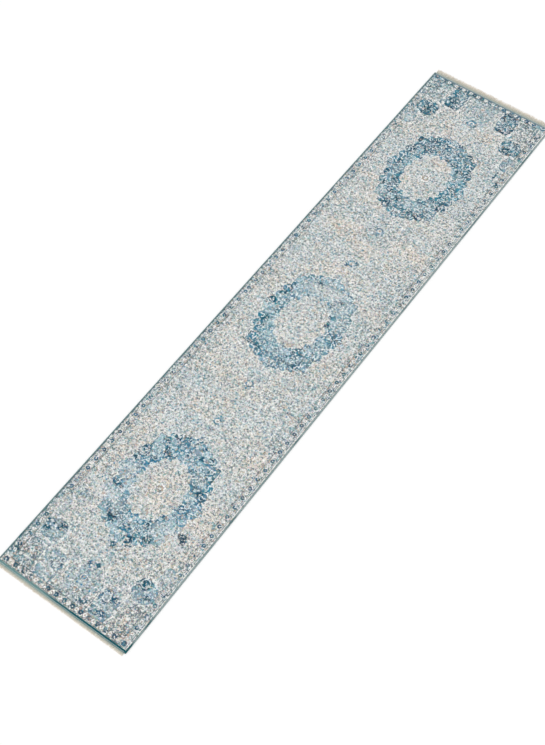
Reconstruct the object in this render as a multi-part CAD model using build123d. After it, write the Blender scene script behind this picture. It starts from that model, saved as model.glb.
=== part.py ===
from build123d import *
import os

# Runner rug: a long cut-pile rug on a woven ground, with overlocked sides, a flat-woven band,
# a row of lock stitches and a warp fringe at each end. It lies flat.
#
# Frame: +X across the rug, +Y along it from the near end to the far end, +Z up out of the pile.
# The origin is on the floor, under the middle of the rug. All sizes are in millimetres.

# Driving dimensions
RUG_WIDTH = 800.0  # over the overlocked sides
RUG_LENGTH = 4000.0  # over the fringe tips
NEAR_FRINGE_LENGTH = 20.0  # free warp ends past the near end band
FAR_FRINGE_LENGTH = 40.0  # the far ends are left longer
END_BAND_LENGTH = 15.0  # flat-woven heading between the pile and the fringe
WEAVE_THICKNESS = 2.5  # warp and weft, sized on the back
PILE_HEIGHT = 6.5  # pile standing out of the ground weave
PILE_EDGE_RADIUS = 2.5  # the outer tufts lean outwards, so the pile's top edge is round
PILE_CORNER_RADIUS = 5.0

# Sides
EDGING_WIDTH = 8.0  # overlocked side, across the rug
EDGING_HEIGHT = 6.4
EDGING_CORNER_RADIUS = 2.6
CORD_DIAMETER = 4.0  # thick warp that the overlock yarn is wrapped round
CORD_CLEARANCE = 0.05

# End bands and their stitches
BAND_THICKNESS = 3.0
STITCH_PITCH = 6.0
STITCH_LENGTH = 5.4
STITCH_WIDTH = 1.8
STITCH_HEIGHT = 0.9
STITCH_FROM_FRINGE = 3.5  # row's centre line, from the band's outer edge

# Fringe
STRAND_PITCH = 7.0
STRAND_WIDTH = 6.4
FRINGE_THICKNESS = 2.0
FRINGE_ROOT = 4.0  # part of the fringe where the strands are still side by side

# Derived sizes
INNER_WIDTH = RUG_WIDTH - 2 * EDGING_WIDTH
WOVEN_LENGTH = RUG_LENGTH - NEAR_FRINGE_LENGTH - FAR_FRINGE_LENGTH  # over both end bands
WOVEN_CENTRE_Y = (NEAR_FRINGE_LENGTH - FAR_FRINGE_LENGTH) / 2
PILE_LENGTH = WOVEN_LENGTH - 2 * END_BAND_LENGTH
EDGING_CENTRE_X = RUG_WIDTH / 2 - EDGING_WIDTH / 2

LEFT, RIGHT = -1, 1
NEAR, FAR = -1, 1
FRINGE_LENGTHS = {NEAR: NEAR_FRINGE_LENGTH, FAR: FAR_FRINGE_LENGTH}


def from_centre(end, distance):
    """Y of a place that far from the middle of the woven part, towards one of its ends."""
    return WOVEN_CENTRE_Y + end * distance


def slab(width, length, z_low, z_high, y_centre=WOVEN_CENTRE_Y):
    """A flat rectangular layer of the rug between two heights."""
    on_bottom = (Align.CENTER, Align.CENTER, Align.MIN)
    return Pos(0, y_centre, z_low) * Box(width, length, z_high - z_low, align=on_bottom)


def make_ground_weave():
    """Warp and weft under the whole pile: the layer that rests on the floor."""
    return slab(INNER_WIDTH, PILE_LENGTH, 0, WEAVE_THICKNESS)


def make_pile_face():
    """The cut pile as one layer, with round corners and a round top edge."""
    body = slab(INNER_WIDTH, PILE_LENGTH, WEAVE_THICKNESS, WEAVE_THICKNESS + PILE_HEIGHT)
    body = fillet(body.edges().filter_by(Axis.Z), PILE_CORNER_RADIUS)
    return fillet(body.faces().sort_by(Axis.Z)[-1].edges(), PILE_EDGE_RADIUS)


def along_side(profile):
    """Run a section, drawn in X and Z, along the whole side of the rug."""
    whole_side = extrude(Plane.XZ * profile, amount=WOVEN_LENGTH / 2, both=True)
    return Pos(0, WOVEN_CENTRE_Y, 0) * whole_side


def make_selvedge_cord(side):
    """The thick outermost warp, on the left or the right side."""
    centre = Pos(side * EDGING_CENTRE_X, EDGING_HEIGHT / 2)
    return along_side(centre * Circle(CORD_DIAMETER / 2))


def make_overlock_yarn(side):
    """The yarn wrapped closely round the selvedge cord, as the sleeve that it forms."""
    centre = Pos(side * EDGING_CENTRE_X, EDGING_HEIGHT / 2)
    outside = RectangleRounded(EDGING_WIDTH, EDGING_HEIGHT, EDGING_CORNER_RADIUS)
    return along_side(centre * (outside - Circle(CORD_DIAMETER / 2 + CORD_CLEARANCE)))


def make_end_band(end):
    """The flat-woven heading past the pile, at the near or the far end."""
    y_centre = from_centre(end, (PILE_LENGTH + END_BAND_LENGTH) / 2)
    return slab(INNER_WIDTH, END_BAND_LENGTH, 0, BAND_THICKNESS, y_centre)


def make_lock_stitch(end):
    """The row of chain-stitch links on the band, each link a separate solid."""
    links_in_row = int(INNER_WIDTH // STITCH_PITCH)
    row_centre_y = from_centre(end, WOVEN_LENGTH / 2 - STITCH_FROM_FRINGE)
    row = Pos(0, row_centre_y, BAND_THICKNESS)
    link = extrude(SlotOverall(STITCH_LENGTH, STITCH_WIDTH), amount=STITCH_HEIGHT)
    places = GridLocations(STITCH_PITCH, 1, links_in_row, 1)
    return Compound(children=[row * place * link for place in places])


def make_fringe(end):
    """The free warp ends: strands with round tips, side by side at their root."""
    strand_count = int(INNER_WIDTH // STRAND_PITCH)
    length = FRINGE_LENGTHS[end]
    root_centre_y = from_centre(end, WOVEN_LENGTH / 2 + FRINGE_ROOT / 2)
    strand_centre_y = from_centre(end, WOVEN_LENGTH / 2 + length / 2)
    outline = Pos(0, root_centre_y) * Rectangle(INNER_WIDTH, FRINGE_ROOT)
    strand = Rot(0, 0, 90) * SlotOverall(length, STRAND_WIDTH)
    places = GridLocations(STRAND_PITCH, 1, strand_count, 1)
    outline += [Pos(0, strand_centre_y) * place * strand for place in places]
    return extrude(outline, amount=FRINGE_THICKNESS)


def make_nodes():
    """Every piece of the rug, by name."""
    nodes = {"ground_weave": make_ground_weave(), "pile_face": make_pile_face()}
    for name, side in (("left", LEFT), ("right", RIGHT)):
        nodes[name + "_selvedge_cord"] = make_selvedge_cord(side)
        nodes[name + "_overlock_yarn"] = make_overlock_yarn(side)
    for name, end in (("near", NEAR), ("far", FAR)):
        nodes[name + "_end_band"] = make_end_band(end)
        nodes[name + "_lock_stitch"] = make_lock_stitch(end)
        nodes[name + "_fringe"] = make_fringe(end)
    return nodes


os.makedirs("parts", exist_ok=True)
for node_name, shape in make_nodes().items():
    export_step(shape, f"parts/{node_name}.step")
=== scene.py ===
import math
from types import SimpleNamespace

import bpy
import numpy as np
from mathutils import Matrix, Vector


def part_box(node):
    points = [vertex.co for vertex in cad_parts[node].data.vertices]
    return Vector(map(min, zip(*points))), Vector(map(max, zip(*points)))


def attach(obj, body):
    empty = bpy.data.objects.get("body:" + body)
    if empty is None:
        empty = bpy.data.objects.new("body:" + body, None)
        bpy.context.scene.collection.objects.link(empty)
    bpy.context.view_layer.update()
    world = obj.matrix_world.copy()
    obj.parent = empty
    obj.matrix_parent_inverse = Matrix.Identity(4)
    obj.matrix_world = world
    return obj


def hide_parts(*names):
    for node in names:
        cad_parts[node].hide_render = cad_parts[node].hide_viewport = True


# Looks of a runner rug. Sizes in the pattern's part are in millimetres, because rugs are drawn
# that way, and MM turns them to metres where a mesh is made.

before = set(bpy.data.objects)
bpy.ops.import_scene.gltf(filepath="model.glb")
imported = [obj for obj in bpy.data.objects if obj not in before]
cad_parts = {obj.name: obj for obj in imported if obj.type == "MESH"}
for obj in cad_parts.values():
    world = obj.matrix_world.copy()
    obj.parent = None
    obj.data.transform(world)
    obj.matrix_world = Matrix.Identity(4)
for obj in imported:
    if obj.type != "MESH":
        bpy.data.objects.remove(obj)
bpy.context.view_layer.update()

MM = 0.001

# ---------------------------------------------------------------- sizes from the CAD frame, in mm


def box_mm(node):
    """Lowest and highest corner of a CAD node, in millimetres."""
    low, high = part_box(node)
    return np.array(low) / MM, np.array(high) / MM


def unit(value):
    """Held between 0 and 1."""
    return np.clip(value, 0, 1)


PILE_LOW, PILE_HIGH = box_mm("pile_face")
WEAVE_LOW, WEAVE_HIGH = box_mm("ground_weave")
PILE_HALF_WIDTH = float(PILE_HIGH[0])
PILE_HALF_LENGTH = float(PILE_HIGH[1] - PILE_LOW[1]) / 2
WOVEN_CENTRE_Y = float(PILE_HIGH[1] + PILE_LOW[1]) / 2  # the far fringe is longer than the near one

# ---------------------------------------------------------------- the pattern

CANVAS_STEP = 1.25  # spacing of the points that the pattern is drawn on
FAR_OFF = 40.0  # a distance that means nothing is drawn near here
LAYERS = ("ink", "light", "blue", "deep", "tan", "zone")  # zone: the whole of each blue form
MEDALLION_PLACES = (0.0, 1222.0)  # along the rug, before mirroring


def around(centre, reach):
    """The square about a place, as lowest and highest across, then along."""
    return centre[0] - reach, centre[0] + reach, centre[1] - reach, centre[1] + reach


class Drawing:
    """A quarter of the rug's pattern as signed distances in mm, negative inside each form.

    The other three quarters are its mirror images.
    """

    def __init__(self):
        self.xs = np.arange(0, PILE_HALF_WIDTH + 2 * CANVAS_STEP, CANVAS_STEP, dtype=np.float32)
        self.ys = np.arange(0, PILE_HALF_LENGTH + 2 * CANVAS_STEP, CANVAS_STEP, dtype=np.float32)
        shape = (len(self.ys), len(self.xs))
        self.layers = {name: np.full(shape, FAR_OFF, np.float32) for name in LAYERS}

    def window(self, x_low, x_high, y_low, y_high):
        """The part of the canvas in a rectangle, with its coordinates, or None where it is empty."""
        left, right = np.searchsorted(self.xs, (x_low, x_high))
        bottom, top = np.searchsorted(self.ys, (y_low, y_high))
        if right <= left or top <= bottom:
            return None, None, None
        part = (slice(bottom, top), slice(left, right))
        return part, self.xs[left:right][None, :], self.ys[bottom:top][:, None]

    def add(self, layer, part, distance):
        view = self.layers[layer][part]
        np.minimum(view, distance, out=view)

    def clear(self, part, distance):
        """Nothing drawn so far shows inside this shape."""
        for name in LAYERS[:-1]:
            view = self.layers[name][part]
            np.maximum(view, -distance, out=view)

    def clear_layer(self, layer, centre, radius):
        """A round hole in one layer."""
        part, x, y = self.window(*around(centre, radius + 2))
        if part is not None:
            view = self.layers[layer][part]
            np.maximum(view, radius - np.hypot(x - centre[0], y - centre[1]), out=view)

    def stroke(self, layer, points, width, ink=0.0):
        """A line of even width. With ink, it hides what is under it and gets an outline."""
        points = np.asarray(points, float)
        reach = width + 5
        low, high = points.min(0) - reach, points.max(0) + reach
        part, x, y = self.window(low[0], high[0], low[1], high[1])
        if part is None:
            return
        nearest = None
        for (ax, ay), (bx, by) in zip(points[:-1], points[1:]):
            dx, dy = bx - ax, by - ay
            along = ((x - ax) * dx + (y - ay) * dy) / max(dx * dx + dy * dy, 1e-6)
            along = unit(along)
            away = (x - ax - along * dx) ** 2 + (y - ay - along * dy) ** 2
            nearest = away if nearest is None else np.minimum(nearest, away)
        distance = np.sqrt(nearest) - width / 2
        if ink:
            self.clear(part, distance - ink)
        self.add(layer, part, distance)
        if ink:
            self.add("ink", part, abs(distance) - ink / 2)

    def form(self, centre, reach, outline, fill=None, ink=1.6, knock_out=True):
        """A closed form about a centre. outline(x, y) gives its signed distance."""
        cx, cy = centre
        part, x, y = self.window(*around(centre, reach))
        if part is None:
            return
        distance = outline(x - cx, y - cy)
        if knock_out:
            self.clear(part, distance - 1.0)
        if fill:
            self.add(fill, part, distance)
        if ink:
            self.add("ink", part, abs(distance) - ink / 2)


def lobed(radius, count, depth, turn=0.0, stretch=1.0):
    """A flower's outline, with rounded petals."""

    def outline(x, y):
        y = y / stretch
        petal = abs(np.cos((np.arctan2(y, x) - turn) * count / 2)) ** 0.7
        return np.hypot(x, y) - radius * (1 - depth * (1 - petal))

    return outline


def fan(radius, turn):
    """A palmette's outline: a fan of petals that opens towards one side."""

    def outline(x, y):
        angle = np.arctan2(y, x) - turn
        reach = 0.45 + 0.55 * np.cos(angle / 2) ** 2
        petal = abs(np.cos(angle * 3.5)) ** 0.6
        return np.hypot(x, y) - radius * reach * (0.80 + 0.20 * petal)

    return outline


def blade(length, width, turn):
    """A leaf's outline, pointed at both ends, growing out of its root."""
    c, s = math.cos(turn), math.sin(turn)

    def outline(x, y):
        u = (x * c + y * s) / length
        v = -x * s + y * c
        half = width / 2 * abs(np.sin(np.pi * unit(u))) ** 0.8
        beyond = np.maximum(abs(u - 0.5) - 0.5, 0) * length
        return np.maximum(abs(v) - half, beyond)

    return outline


def curl(centre, radius, turn, turns=1.6, hand=1, steps=26):
    """Points of a scroll that winds in to its centre."""
    t = np.linspace(0, 1, steps)
    angle = turn + hand * t * turns * 2 * math.pi
    r = radius * (1 - 0.86 * t**0.85)
    return np.stack([centre[0] + r * np.cos(angle), centre[1] + r * np.sin(angle)], 1)


def offset(centre, distance, angle):
    return (centre[0] + distance * math.cos(angle), centre[1] + distance * math.sin(angle))


def dot(d, centre, reach, radius, fill, petals=5, depth=0.2, turn=0.0):
    """A small flower without an outline."""
    d.form(centre, reach, lobed(radius, petals, depth, turn), fill, ink=0)


def rosette(d, centre, radius, petals=8, fill="light", heart="deep", turn=0.0):
    d.form(centre, radius + 4, lobed(radius, petals, 0.28, turn), fill)
    dot(d, centre, radius, radius * 0.50, heart, petals, 0.15, turn)
    dot(d, centre, radius, radius * 0.20, "light", 5, 0.0)


def palmette(d, centre, radius, turn, fill="light", heart="deep"):
    d.form(centre, radius * 1.2 + 4, fan(radius, turn), fill, ink=2.0)
    d.form(offset(centre, radius * 0.10, turn), radius, fan(radius * 0.60, turn), heart, ink=1.4)
    dot(d, offset(centre, radius * 0.20, turn), radius * 0.5, radius * 0.22, "tan", turn=turn)


def leaf(d, root, length, width, turn, fill=None, ink=1.5):
    d.form(root, length + 3, blade(length, width, turn), fill, ink, knock_out=fill is not None)


def scroll(d, centre, radius, turn, hand):
    """A dark disc with a pale outline and a pale spiral, and leaves on its outer side."""
    for k in range(3):
        angle = turn + hand * (0.3 + 1.4 * k)
        root = offset(centre, radius, angle)
        leaf(d, root, radius * 0.7, radius * 0.36, angle - hand * 0.7, "light", 0)
    dot(d, centre, radius + 4, radius + 2.0, "light", 9, 0.06, turn)
    d.form(centre, radius + 2, lobed(radius, 9, 0.04, turn), "deep", ink=0, knock_out=False)
    d.clear_layer("light", centre, radius)
    d.stroke("light", curl(centre, radius * 0.74, turn, 1.0, hand, 18), 2.6)


def roundel(d, centre, radius, turn, hand):
    """A pale curl and leaves on a blue disc with a thin dark edge."""
    d.form(centre, radius + 3, lobed(radius, 8, 0.06), "blue", ink=2.6)
    d.stroke("light", curl(centre, radius * 0.62, turn, 0.7, hand, 14), radius * 0.20)
    for k in range(2):
        root = offset(centre, radius * 0.2, turn + 3.0 * k + 1.0)
        leaf(d, root, radius * 0.7, radius * 0.32, turn + 3.0 * k + 1.6, "light", 0)


def rounded_box(x, y, half_width, half_height, radius):
    qx = abs(x) - (half_width - radius)
    qy = abs(y) - (half_height - radius)
    outside = np.hypot(np.maximum(qx, 0), np.maximum(qy, 0))
    return outside + np.minimum(np.maximum(qx, qy), 0) - radius


def disc(x, y, cx, cy, radius):
    return np.hypot(x - cx, y - cy) - radius


# Lobes along a medallion's edge: across, along, radius. The other quarters mirror them.
MEDALLION_LOBES = (
    (214, 28, 24), (200, 82, 27), (192, 140, 27), (124, 270, 23), (82, 290, 23), (40, 306, 23),
)
SHOULDER_X, SHOULDER_Y = 190.0, 256.0  # the square corners that the medallion's dome stands on


def medallion_outer(x, y):
    """Outline of a medallion about its centre: lobes, side tips, square shoulders and a dome."""
    y = abs(y)
    field = rounded_box(x, y, 176, 200, 30)
    field = np.minimum(field, rounded_box(x, y, SHOULDER_X, SHOULDER_Y, 5))
    field = np.minimum(field, rounded_box(x, y, 112, 284, 36))
    field = np.minimum(field, (x + 0.9 * y - 262) * 0.74)
    field = np.minimum(field, disc(x, y, 0, 318, 24))
    for cx, cy, radius in MEDALLION_LOBES:
        field = np.minimum(field, disc(x, y, cx, cy, radius))
    return field


def medallion_inner(x, y):
    """Outline of the pale middle: an oval with fourteen soft lobes."""
    half_width, half_height = 140.0, 188.0
    angle = np.arctan2(y / half_height, x / half_width)
    lobes = abs(np.cos(7 * angle)) ** 0.8
    return (np.hypot(x / half_width, y / half_height) - 0.86 - 0.14 * lobes) * half_width


ROW_SHARE = 0.87  # distance between staggered rows, as a share of the spacing in a row


def staggered(columns, rows, spacing, jitter, rng):
    """Places in staggered rows, each moved a little at random."""
    row_height = spacing * ROW_SHARE
    for j in range(rows):
        for i in range(columns):
            x = (i + 0.5 * (j % 2)) * spacing + rng.uniform(-jitter, jitter)
            yield x, j * row_height + rng.uniform(-jitter, jitter)


FILL_SPACING = 37.0


def fill_blue(d, inside, x_high, y_low, y_high, rng):
    """Sets a blue form with round scrolls, pale flowers, leaves and buds."""
    rows = int((y_high - y_low) / (FILL_SPACING * ROW_SHARE)) + 1
    columns = int(x_high / FILL_SPACING) + 1
    for x, y in staggered(columns, rows, FILL_SPACING, 5, rng):
        centre = (x, y_low + y)
        depth = -float(inside(np.float64(centre[0]), np.float64(centre[1])))
        turn, kind = rng.uniform(0, 2 * math.pi), rng.random()
        if depth > 7:
            tip = offset(centre, 15, turn + 2.5)
            leaf(d, tip, 14, 5, turn + 3.2, "light" if kind > 0.5 else "deep", 0)
            dot(d, offset(centre, FILL_SPACING * 0.55, turn), 8, 4.6, "deep")
            bud = offset(centre, FILL_SPACING * 0.50, turn + 1.4)
            dot(d, bud, 8, 3.4, "tan" if kind > 0.85 else "light")
        if depth > 13 and kind < 0.5:
            scroll(d, centre, 13.5, turn, 1 if kind < 0.25 else -1)
        elif depth > 9:
            rosette(d, centre, 10.0, 6, heart="tan" if kind > 0.9 else "blue", turn=turn)
        elif depth > 4:
            dot(d, centre, 10, 4.5, "light")


def medallion(d, centre_y):
    part, x, y = d.window(0, 300, centre_y - 470, centre_y + 470)
    y = y - centre_y
    outer, inner = medallion_outer(x, y), medallion_inner(x, y)
    d.clear(part, outer - 6)
    d.add("blue", part, np.maximum(outer, -inner))
    d.add("zone", part, np.maximum(outer, -inner))
    for up in (-1, 1):

        def ring(px, py, up=up):
            py = (py - centre_y) * up
            return max(medallion_outer(px, py), -medallion_inner(px, py), -py - 8)

        low, high = sorted((centre_y, centre_y + up * 350))
        fill_blue(d, ring, 260, low, high, np.random.default_rng(11))
        base_y = centre_y + up * SHOULDER_Y
        d.stroke("deep", [(0, base_y), (SHOULDER_X, base_y)], 6.0)
    d.add("deep", part, abs(outer + 1) - 1.9)
    d.add("light", part, abs(outer - 4) - 1.6)
    for up in (-1, 1):
        for k, (cx, cy, radius) in enumerate(MEDALLION_LOBES + ((160, 222, 26),)):
            roundel(d, (cx, centre_y + up * cy), radius, 1.7 * k, 1 if k % 2 else -1)
        pendant(d, centre_y, up)
    palmette(d, (232, centre_y), 24, 0.0)
    palmette(d, (176, centre_y), 20, math.pi)
    pale_middle(d, centre_y)


def pendant(d, centre_y, up):
    """The palmettes that stand in line above the medallion's dome, out to its loose pendant."""
    ahead = up * math.pi / 2
    palmette(d, (0, centre_y + up * 300), 22, ahead)
    for k, distance in enumerate((334, 358, 382)):
        leaf(d, (2, centre_y + up * distance), 22 - 4 * k, 12, up * 1.0, "blue", 0)
        dot(d, (0, centre_y + up * (distance + 8)), 12, 4.5, "light")
    palmette(d, (0, centre_y + up * 466), 30, ahead, fill="blue", heart="light")
    leaf(d, (14, centre_y + up * 470), 26, 11, up * 0.5, "blue", 0)
    leaf(d, (10, centre_y + up * 492), 20, 12, up * 1.0, "blue", 0)
    dot(d, (0, centre_y + up * 506), 12, 7, "blue")


# Rings of flowers: how many, half-width, half-height, first place.
MIDDLE_RINGS = (
    (9, 50, 62, 0.0), (14, 71, 92, 0.5), (18, 92, 123, 0.0), (22, 113, 154, 0.5),
)


def pale_middle(d, centre_y):
    """Rings of small flowers and curls round a rosette."""
    centre = (0, centre_y)
    d.form(centre, 60, lobed(33, 10, 0.18, stretch=1.15), "light", ink=3.0)
    d.form(centre, 50, lobed(20, 8, 0.22), "tan", ink=2.6)
    d.form(centre, 50, lobed(10, 8, 0.2), "light", ink=2.2)
    for count, half_width, half_height, start in MIDDLE_RINGS:
        for k in range(count):
            a = (k + start) * 2 * math.pi / count
            place = (half_width * math.cos(a), centre_y + half_height * math.sin(a))
            if place[0] < -12:
                continue
            petals = fan(11, a) if k % 2 else lobed(7.5, 6, 0.3, a)
            d.form(place, 24, petals, "light", ink=2.6)
            dot(d, place, 24, 3.2, "tan" if k % 2 else "ink", depth=0.0)
            b = a + math.pi / count
            between = (half_width * math.cos(b), centre_y + half_height * math.sin(b))
            d.stroke("ink", curl(between, 7.0, b, 0.9, 1 if k % 2 else -1, 12), 2.6)
            leaf(d, between, 12, 6, b + 1.2, "tan" if k % 3 == 0 else "ink", 0)


# Blue cartouches that step out from the end border to the side border: middle across and
# along, then half sizes.
CARTOUCHES = (
    (172, 1846, 54, 82), (282, 1690, 60, 58), (330, 1572, 30, 50),
)


def cartouche(d, cx, cy, half_width, half_height, rng):
    part, x, y = d.window(cx - 100, cx + 100, cy - 120, cy + 120)
    field = rounded_box(x - cx, y - cy, half_width - 6, half_height - 6, 20)
    for k in range(8):
        a = k * math.pi / 4 + math.pi / 8
        lobe_x = cx + (half_width - 15) * math.cos(a)
        lobe_y = cy + (half_height - 15) * math.sin(a)
        field = np.minimum(field, disc(x, y, lobe_x, lobe_y, 20))
    d.clear(part, field - 5)
    d.add("blue", part, field)
    d.add("zone", part, field)

    def inside(px, py):
        lobes = rounded_box(px - cx, py - cy, half_width - 4, half_height - 4, 20)
        return max(lobes, cx - half_width - px)

    fill_blue(d, inside, cx + half_width, cy - half_height, cy + half_height, rng)
    d.add("deep", part, abs(field + 1) - 1.9)
    d.add("light", part, abs(field - 13) - 8)


ARCH_LINE = ((106, 1914), (110, 1850), (104, 1790), (80, 1742), (46, 1706), (20, 1684), (0, 1672))
ARCH_ROSETTES = ((52, 1800, 11), (84, 1862, 12), (34, 1888, 9), (76, 1756, 10), (30, 1740, 9))
CORNER_CURLS = ((280, 1810, 1), (322, 1872, -1), (252, 1884, 1), (318, 1784, -1), (262, 1846, -1))


def end_field(d):
    """Each end of the field: stepped cartouches, a pale arch on the long axis, and the corners."""
    d.stroke("blue", [(218, 1784), (240, 1762), (262, 1736)], 34, ink=2.0)
    d.stroke("blue", [(318, 1648), (330, 1636), (336, 1610)], 26, ink=2.0)
    rng = np.random.default_rng(13)
    for shape in CARTOUCHES:
        cartouche(d, *shape, rng)
    d.stroke("deep", [(128, 1754), (222, 1748), (234, 1734)], 9.0)
    d.stroke("light", ARCH_LINE, 13.0)
    d.stroke("ink", ARCH_LINE, 3.0)
    palmette(d, (0, 1736), 44, -math.pi / 2, fill="blue", heart="light")
    palmette(d, (0, 1792), 26, math.pi / 2, heart="blue")
    palmette(d, (0, 1856), 26, math.pi / 2, heart="tan")
    for px, py, radius in ARCH_ROSETTES:
        rosette(d, (px, py), radius, 7, heart="tan")
    for px, py, hand in CORNER_CURLS:
        d.stroke("ink", curl((px, py), 22, px, 1.5, hand), 2.4)
        rosette(d, (px, py), 9, 6, fill="tan", heart="deep")


GUARD_LINE_X, GUARD_LINE_Y = 346.0, 1914.0  # inner edge of the border
OUTER_LINE_X, OUTER_LINE_Y = 385.0, 1951.0
SIDE_ROSETTE_X, END_ROSETTE_Y = 365.0, 1933.0
SIDE_PITCH, END_PITCH = 63.0, 51.0


def border(d):
    """A row of dark rosettes and pale flowers by turns, between two guard lines."""
    part, x, y = d.window(0, PILE_HALF_WIDTH + 10, 0, PILE_HALF_LENGTH + 10)
    inset = np.minimum(GUARD_LINE_X - x, GUARD_LINE_Y - y)
    for layer in d.layers.values():
        layer[part][inset < -2] = FAR_OFF
    d.add("ink", part, abs(inset) - 1.7)
    d.add("tan", part, abs(inset + 4) - 1.8)
    outer = np.minimum(OUTER_LINE_X - x, OUTER_LINE_Y - y)
    d.add("ink", part, abs(outer) - 1.2)
    d.add("light", part, abs(outer + 4) - 2.4)
    for k in range(int(2 * (GUARD_LINE_Y - 10) / SIDE_PITCH)):
        place = (SIDE_ROSETTE_X, (k + 0.5) * SIDE_PITCH / 2)
        border_flower(d, place, 12.0, k, SIDE_PITCH, math.pi / 2)
    for k in range(int(2 * (GUARD_LINE_X + 10) / END_PITCH)):
        border_flower(d, (k * END_PITCH / 2, END_ROSETTE_Y), 14.0, k, END_PITCH, 0.0)
    border_flower(d, (SIDE_ROSETTE_X, END_ROSETTE_Y), 14.0, 0, END_PITCH, None)


def border_flower(d, centre, radius, k, pitch, turn):
    if k % 2 == 0:
        dot(d, centre, 22, radius, "deep", 6, 0.16)
        dot(d, centre, 20, 2.2, "light", depth=0.1)
    else:
        d.form(centre, 20, lobed(radius, 5, 0.3, 0.6), "light", ink=2.4)
        dot(d, centre, 20, 3.6, "tan", depth=0.1)
    if turn is None:
        return
    for side in (-1, 1):
        root = offset(offset(centre, pitch / 4, turn), side * 9, turn + math.pi / 2)
        leaf(d, root, 12, 6, turn + side * 0.8, "ink", 0)
        dot(d, root, 8, 3.4, "tan" if side > 0 else "ink", depth=0.0)


FIELD_SPACING = 26.0


def field_vine(d, rng):
    """Curls with flowers, leaves and stems, closely set over the whole field."""
    columns = int(360 / FIELD_SPACING) + 1
    rows = int(1930 / (FIELD_SPACING * ROW_SHARE)) + 1
    for centre in staggered(columns, rows, FIELD_SPACING, 4, rng):
        hand = 1 if rng.random() < 0.5 else -1
        turn = rng.uniform(0, 2 * math.pi)
        size = rng.uniform(7, 10)
        field_curl(d, centre, size, turn, hand, rng.random())


def field_curl(d, centre, size, turn, hand, kind):
    d.stroke("ink", curl(centre, size, turn, 0.6, hand, 10), 2.4)
    for k, fill in enumerate(("ink", "light", "ink")):
        angle = turn + hand * (0.6 + 1.6 * k)
        root = offset(centre, size * (1 + 0.15 * k), angle)
        leaf(d, root, size, size * 0.55, angle - hand * 0.6, fill, 0)
    bud = offset(centre, FIELD_SPACING * 0.52, turn + 2.0)
    dot(d, bud, 6, 3.6, "ink" if kind < 0.5 else "tan", depth=0.1)
    if kind < 0.25:
        rosette(d, centre, 6.0, 6, heart="ink", turn=turn)
    elif kind < 0.38:
        rosette(d, centre, 5.5, 5, fill="tan", heart="ink", turn=turn)
    elif kind < 0.54:
        palmette(d, centre, 8.5, turn, heart="blue")
    elif kind < 0.74:
        dot(d, centre, 8, 3.8, "deep", turn=turn)
    elif kind < 0.86:
        dot(d, centre, 8, 4.8, "blue", turn=turn)
    else:
        dot(d, centre, 8, 5.4, "light", turn=turn)


def draw_pattern():
    d = Drawing()
    field_vine(d, np.random.default_rng(7))
    end_field(d)
    for centre_y in MEDALLION_PLACES:
        medallion(d, centre_y)
    border(d)
    return d


def between_points(grid, u, v):
    """Values of a grid at fractional places, by straight-line blending."""
    i = np.clip(np.floor(u).astype(int), 0, grid.shape[1] - 2)
    j = np.clip(np.floor(v).astype(int), 0, grid.shape[0] - 2)
    fu, fv = u - i, v - j
    low = grid[j, i] * (1 - fu) + grid[j, i + 1] * fu
    high = grid[j + 1, i] * (1 - fu) + grid[j + 1, i + 1] * fu
    return low * (1 - fv) + high * fv


def patches(x, y, size_x, size_y, seed):
    """Seeded noise from 0 to 1, in soft patches of about that size in millimetres."""
    rng = np.random.default_rng(seed)
    reach_x, reach_y = 450.0, 2050.0
    grid = rng.random((int(2 * reach_y / size_y) + 4, int(2 * reach_x / size_x) + 4))
    u, v = (x + reach_x) / size_x, (y + reach_y) / size_y
    iu, iv = np.floor(u), np.floor(v)
    su, sv = u - iu, v - iv
    return between_points(grid, iu + su * su * (3 - 2 * su), iv + sv * sv * (3 - 2 * sv))


# ---------------------------------------------------------------- meshes


def new_piece(name, vertices_mm, faces, material, attributes=None, smooth=True):
    """A mesh object from vertices in millimetres and one or more arrays of faces."""
    groups = faces if isinstance(faces, list) else [faces]
    loops = np.concatenate([g.ravel() for g in groups]).astype(np.int32)
    sizes = np.concatenate([np.full(len(g), g.shape[1]) for g in groups])
    starts = np.concatenate([[0], np.cumsum(sizes)[:-1]]).astype(np.int32)
    mesh = bpy.data.meshes.new(name)
    mesh.vertices.add(len(vertices_mm))
    mesh.vertices.foreach_set("co", (np.asarray(vertices_mm) * MM).astype(np.float32).ravel())
    mesh.loops.add(len(loops))
    mesh.loops.foreach_set("vertex_index", loops)
    mesh.polygons.add(len(starts))
    mesh.polygons.foreach_set("loop_start", starts)
    mesh.update(calc_edges=True)
    mesh.validate()
    mesh.polygons.foreach_set("use_smooth", np.full(len(mesh.polygons), smooth))
    for key, values in (attributes or {}).items():
        layer = mesh.attributes.new(key, "FLOAT", "POINT")
        layer.data.foreach_set("value", np.asarray(values, np.float32).ravel())
    mesh.materials.append(material)
    piece = bpy.data.objects.new(name, mesh)
    bpy.context.scene.collection.objects.link(piece)
    return piece


def grid_faces(rows, columns, closed=False):
    """Quads of a grid of vertices numbered row by row. closed joins the last column to the first."""
    numbers = np.arange(rows * columns).reshape(rows, columns)
    if closed:
        numbers = np.concatenate([numbers, numbers[:, :1]], 1)
    corners = (numbers[:-1, :-1], numbers[:-1, 1:], numbers[1:, 1:], numbers[1:, :-1])
    return np.stack([c.ravel() for c in corners], 1)


def end_caps(count, points):
    """The two faces that close a row of rings."""
    return np.stack([np.arange(points)[::-1], (count - 1) * points + np.arange(points)])


def loft(rings):
    """Vertices and faces of a closed form through rings of points, shaped (rings, points, 3)."""
    count, points, _ = rings.shape
    return rings.reshape(-1, 3), [grid_faces(count, points, closed=True), end_caps(count, points)]


# ---------------------------------------------------------------- materials


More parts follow.
